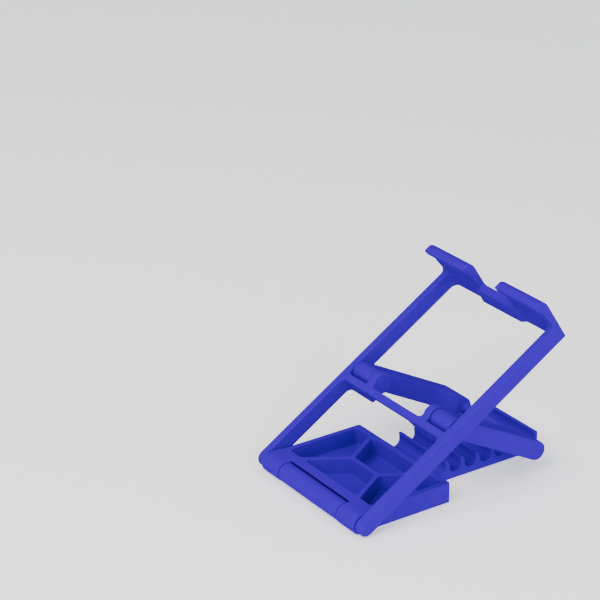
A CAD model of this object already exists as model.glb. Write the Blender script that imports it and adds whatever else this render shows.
"""Looks of the folding desk stand: matte blue printed plastic on a pale floor.

Each piece is shown by a copy of its CAD shape with slightly rounded edges, and all three
share one kind of procedural plastic. Lengths in mm become metres through MM.
"""

from math import cos, pi, radians, sin

import bpy
from mathutils import Matrix, Vector


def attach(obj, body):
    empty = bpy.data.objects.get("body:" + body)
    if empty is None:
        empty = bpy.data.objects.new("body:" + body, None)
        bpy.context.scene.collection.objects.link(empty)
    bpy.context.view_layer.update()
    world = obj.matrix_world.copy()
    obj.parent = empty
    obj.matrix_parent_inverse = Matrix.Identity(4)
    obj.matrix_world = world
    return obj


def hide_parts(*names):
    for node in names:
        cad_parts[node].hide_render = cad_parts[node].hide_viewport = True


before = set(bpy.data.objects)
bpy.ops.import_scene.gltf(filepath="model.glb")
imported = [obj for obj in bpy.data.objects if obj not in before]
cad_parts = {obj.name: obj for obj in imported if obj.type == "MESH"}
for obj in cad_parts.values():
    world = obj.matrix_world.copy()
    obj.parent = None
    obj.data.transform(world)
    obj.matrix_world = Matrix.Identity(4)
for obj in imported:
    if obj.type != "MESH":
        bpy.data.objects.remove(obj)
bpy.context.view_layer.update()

MM = 0.001

# ---------------------------------------------------------------- camera
CAMERA_AZIMUTH = 56.35      # degrees from the front (-Y) towards +X
CAMERA_ELEVATION = 23.91
CAMERA_ROLL = -0.54
CAMERA_TARGET = Vector((-70.58, -9.95, 55.95)) * MM
CAMERA_DISTANCE = 1009.23 * MM
CAMERA_LENS = 137.55        # on a 36 mm sensor
SENSOR = 36

# ---------------------------------------------------------------- plastic
PLASTIC = (0.036, 0.0, 0.365, 1)
PLASTIC_DARK = (0.0315, 0.0, 0.32, 1)
SPECULAR = 0.0              # the plastic is dead matte
ROUGHNESS = (0.45, 0.6)
MOTTLE_SCALE = 160
MOTTLE_DETAIL = 5
LAYER = 0.24 * MM           # from one layer line to the next
LAYER_RELIEF = 0.03 * MM
LAYER_STRENGTH = 0.55
TILT = radians(32.1)
LEG_SLOPE = radians(28.2)
STACKING = {                # the direction in which each piece's layers were stacked
    "base": (0, 0, 1),
    "support_frame": (0, -sin(TILT), cos(TILT)),
    "prop_leg": (0, sin(LEG_SLOPE), cos(LEG_SLOPE)),
}

# ---------------------------------------------------------------- edges, rounded by printing
VOXEL = 0.3 * MM
SOFTENING = 0.5
SOFTENING_ROUNDS = 4

# ---------------------------------------------------------------- studio
KEY = {"location": (0.15, -0.85, 0.95), "size": (0.8, 0.8), "power": 18}
SIDE = {"location": (1.1, -0.1, 0.45), "size": (0.9, 0.7), "power": 9.5}
LIT_POINT = Vector((0, 0, 0.03))
SKY = (0.95, 0.96, 1.0, 1)
SKY_STRENGTH = 0.85
FLOOR_REACH = 3.0
FLOOR_COLOUR = (0.88, 0.88, 0.88, 1)
FLOOR_ROUGHNESS = 0.7
FLOOR_GLOW = 0.45           # keeps the floor pale under light that suits the plastic


def add_camera():
    """Camera at the stand's three-quarter view, from its right and above."""
    azimuth, elevation = radians(CAMERA_AZIMUTH), radians(CAMERA_ELEVATION)
    back = Vector((sin(azimuth) * cos(elevation), -cos(azimuth) * cos(elevation), sin(elevation)))
    right = (-back).cross(Vector((0, 0, 1))).normalized()
    up = right.cross(-back)
    roll = radians(CAMERA_ROLL)
    across = right * cos(roll) + up * sin(roll)
    upward = up * cos(roll) - right * sin(roll)
    turn = Matrix((across, upward, back)).transposed().to_4x4()
    data = bpy.data.cameras.new("camera")
    data.lens = CAMERA_LENS
    data.sensor_width = SENSOR
    data.clip_start = 10 * MM
    camera = bpy.data.objects.new("camera", data)
    camera.matrix_world = Matrix.Translation(CAMERA_TARGET + back * CAMERA_DISTANCE) @ turn
    bpy.context.scene.collection.objects.link(camera)
    bpy.context.scene.camera = camera


def add_light(name, location, size, power):
    """A soft rectangular light aimed at the middle of the stand."""
    data = bpy.data.lights.new(name, "AREA")
    data.shape = "RECTANGLE"
    data.size, data.size_y = size
    data.energy = power
    light = bpy.data.objects.new(name, data)
    light.location = location
    light.rotation_euler = (LIT_POINT - Vector(location)).to_track_quat("-Z", "Y").to_euler()
    bpy.context.scene.collection.objects.link(light)


def add_sky():
    """Even, nearly white light from all round."""
    world = bpy.data.worlds.new("studio")
    world.use_nodes = True
    background = world.node_tree.nodes["Background"]
    background.inputs["Color"].default_value = SKY
    background.inputs["Strength"].default_value = SKY_STRENGTH
    bpy.context.scene.world = world


def add_floor():
    mesh = bpy.data.meshes.new("floor")
    reach = FLOOR_REACH
    corners = [(-reach, -reach, 0), (reach, -reach, 0), (reach, reach, 0), (-reach, reach, 0)]
    mesh.from_pydata(corners, [], [(0, 1, 2, 3)])
    floor = bpy.data.objects.new("floor", mesh)
    bpy.context.scene.collection.objects.link(floor)
    material = bpy.data.materials.new("floor_paint")
    material.use_nodes = True
    shader = material.node_tree.nodes["Principled BSDF"]
    shader.inputs["Base Color"].default_value = FLOOR_COLOUR
    shader.inputs["Roughness"].default_value = FLOOR_ROUGHNESS
    shader.inputs["Emission Color"].default_value = (1, 1, 1, 1)
    shader.inputs["Emission Strength"].default_value = FLOOR_GLOW
    mesh.materials.append(material)


def printed_plastic(name, stacking, seed):
    """Matte printed plastic: fine layer lines across one direction, and slight mottling."""
    material = bpy.data.materials.new(name)
    material.use_nodes = True
    nodes, links = material.node_tree.nodes, material.node_tree.links
    shader = nodes["Principled BSDF"]
    shader.inputs["Specular IOR Level"].default_value = SPECULAR

    def node(kind, **settings):
        made = nodes.new(kind)
        for key, value in settings.items():
            setattr(made, key, value)
        return made

    place = node("ShaderNodeTexCoord").outputs["Object"]

    # layer lines: a sine wave of the height along the stacking direction
    height = node("ShaderNodeVectorMath", operation="DOT_PRODUCT")
    height.inputs[1].default_value = stacking
    links.new(place, height.inputs[0])
    phase = node("ShaderNodeMath", operation="MULTIPLY")
    phase.inputs[1].default_value = 2 * pi / LAYER
    links.new(height.outputs["Value"], phase.inputs[0])
    wave = node("ShaderNodeMath", operation="SINE")
    links.new(phase.outputs[0], wave.inputs[0])
    bump = node("ShaderNodeBump")
    bump.inputs["Strength"].default_value = LAYER_STRENGTH
    bump.inputs["Distance"].default_value = LAYER_RELIEF
    links.new(wave.outputs[0], bump.inputs["Height"])
    links.new(bump.outputs["Normal"], shader.inputs["Normal"])

    # mottling of the colour and the roughness, different on each piece
    shift = node("ShaderNodeVectorMath", operation="ADD")
    shift.inputs[1].default_value = (seed, seed * 0.7, seed * 0.3)
    links.new(place, shift.inputs[0])
    mottle = node("ShaderNodeTexNoise")
    mottle.inputs["Scale"].default_value = MOTTLE_SCALE
    mottle.inputs["Detail"].default_value = MOTTLE_DETAIL
    links.new(shift.outputs[0], mottle.inputs["Vector"])
    colour = node("ShaderNodeMix", data_type="RGBA")
    colour.inputs[6].default_value = PLASTIC_DARK
    colour.inputs[7].default_value = PLASTIC
    links.new(mottle.outputs["Fac"], colour.inputs[0])
    links.new(colour.outputs[2], shader.inputs["Base Color"])
    rough = node("ShaderNodeMapRange")
    rough.inputs["To Min"].default_value, rough.inputs["To Max"].default_value = ROUGHNESS
    links.new(mottle.outputs["Fac"], rough.inputs["Value"])
    links.new(rough.outputs["Result"], shader.inputs["Roughness"])
    return material


def softened(source, name):
    """Copy of a CAD object, remeshed finely and smoothed so that its edges are slightly round."""
    piece = bpy.data.objects.new(name, source.data.copy())
    bpy.context.scene.collection.objects.link(piece)
    remesh = piece.modifiers.new("remesh", "REMESH")
    remesh.mode = "VOXEL"
    remesh.voxel_size = VOXEL
    soften = piece.modifiers.new("soften", "SMOOTH")
    soften.factor = SOFTENING
    soften.iterations = SOFTENING_ROUNDS
    bpy.context.view_layer.update()
    evaluated = piece.evaluated_get(bpy.context.evaluated_depsgraph_get())
    shaped = bpy.data.meshes.new_from_object(evaluated)
    piece.modifiers.clear()
    piece.data = shaped
    shaped.shade_smooth()
    shaped.materials.clear()
    return piece


def show_printed(name, stacking, seed):
    """Show one node as printed plastic in place of its CAD shape."""
    piece = softened(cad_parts[name], name + "_print")
    piece.data.materials.append(printed_plastic(name + "_plastic", stacking, seed))
    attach(piece, name)
    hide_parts(name)


for seed, (name, stacking) in enumerate(STACKING.items(), 1):
    show_printed(name, stacking, seed)

add_floor()
add_camera()
add_light("key", **KEY)
add_light("side", **SIDE)
add_sky()
